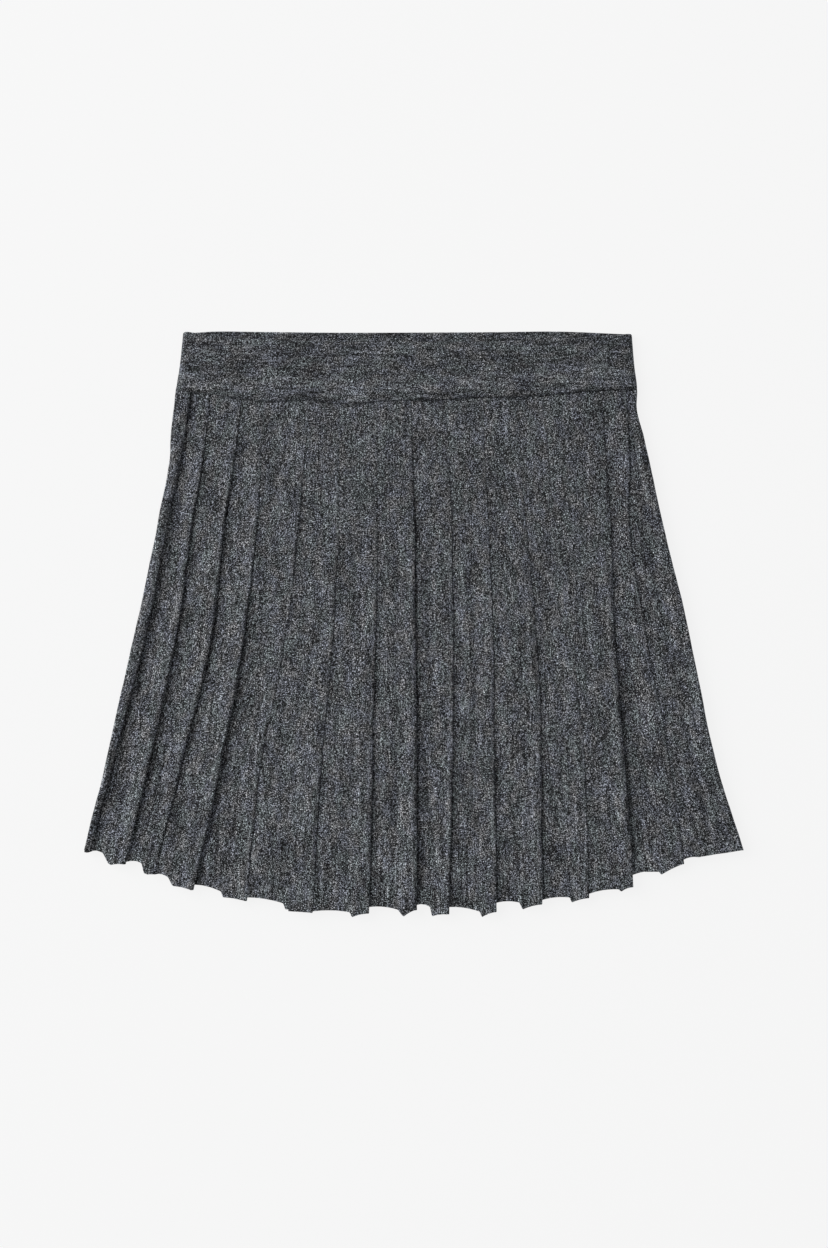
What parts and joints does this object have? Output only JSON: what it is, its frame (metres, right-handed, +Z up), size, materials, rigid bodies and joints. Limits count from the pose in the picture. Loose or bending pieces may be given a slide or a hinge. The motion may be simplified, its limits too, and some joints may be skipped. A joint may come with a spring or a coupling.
{
  "type": "knit pleated mini skirt",
  "caption": "Short fine-knit skirt with pressed knife pleats all round and a plain flat waistband, laid flat front up.",
  "frame": {"origin": "on the table under the middle of the skirt's bounding box", "axes": "+Z up from the table through the front panel, +Y from the hem to the waist, +X to the right as the front is looked at"},
  "size_m": [0.475, 0.4221, 0.0103],
  "materials": {
    "skirt_knit": "matte heather grey fine jersey knit, wales running down the pleats",
    "band_knit": "matte heather grey doubled jersey knit, courses running round the waist"
  },
  "bodies": {
    "root": {"front_panel": "skirt_knit", "back_panel": "skirt_knit", "waistband": "band_knit"}
  },
  "joints": []
}
